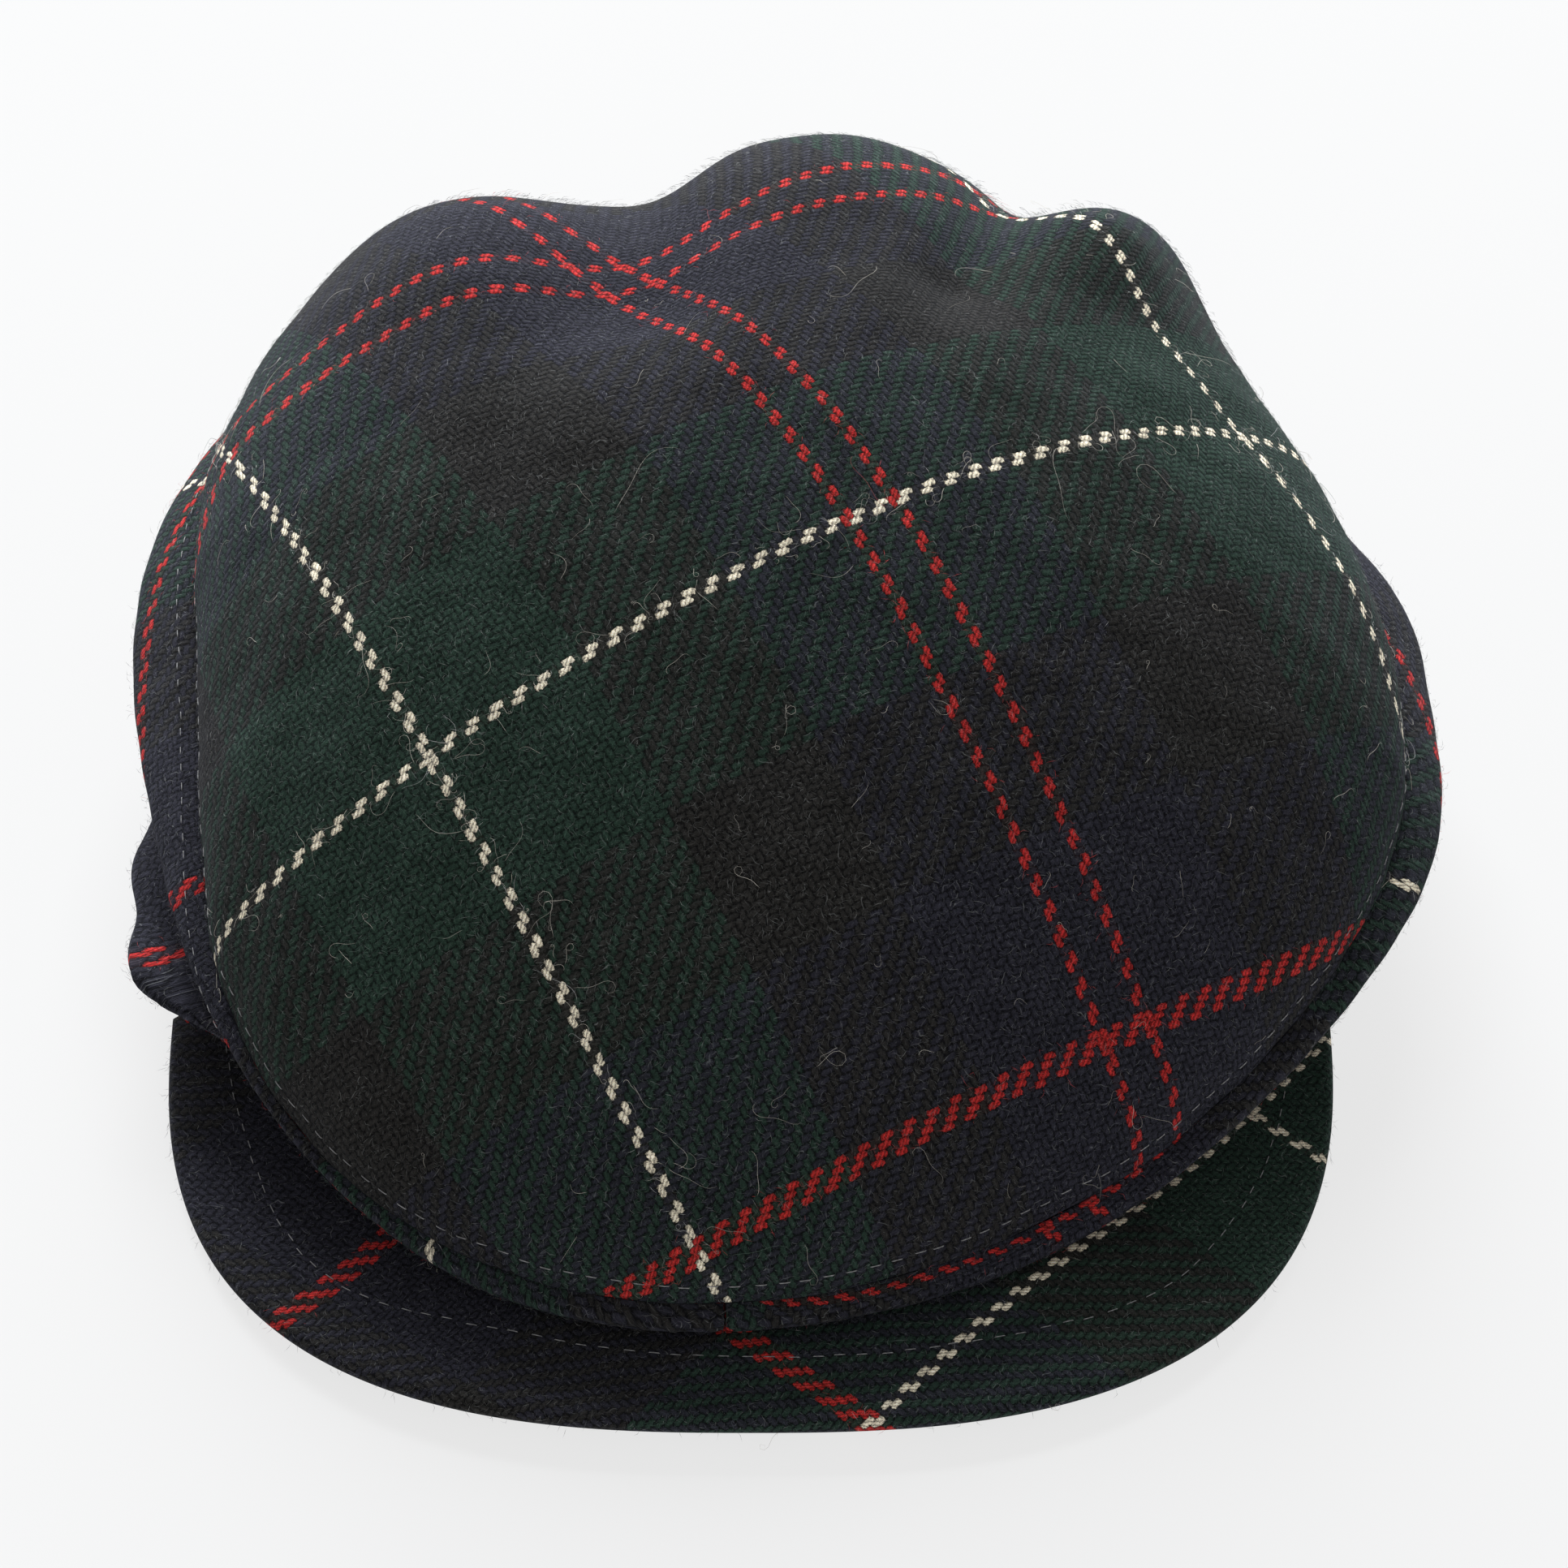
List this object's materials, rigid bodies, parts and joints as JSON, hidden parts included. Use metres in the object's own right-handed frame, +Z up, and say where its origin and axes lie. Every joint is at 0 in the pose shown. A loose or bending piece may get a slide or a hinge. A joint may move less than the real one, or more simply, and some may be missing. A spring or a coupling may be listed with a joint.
{
  "type": "flat cap",
  "caption": "Soft flat cap of dark tartan wool: a domed, folded top panel over tucked side panels, open below for the head, with a short stiff peak in front.",
  "frame": {"origin": "on the floor, under the middle of the cap's outline box", "axes": "+X to the cap's right-hand side as seen from in front, +Y from the peak to the back, +Z up"},
  "size_m": [0.221, 0.2516, 0.0968],
  "materials": {
    "top_panel": "napped twill wool, navy, green and black tartan with red and white lines",
    "side_panel_right": "napped twill wool in the same tartan",
    "side_panel_left": "napped twill wool in the same tartan",
    "peak": "the same wool drawn over a stiff core, stitched round its edge"
  },
  "bodies": {
    "root": {"top_panel": "top_panel", "side_panel_right": "side_panel_right", "side_panel_left": "side_panel_left", "peak": "peak"}
  },
  "joints": []
}
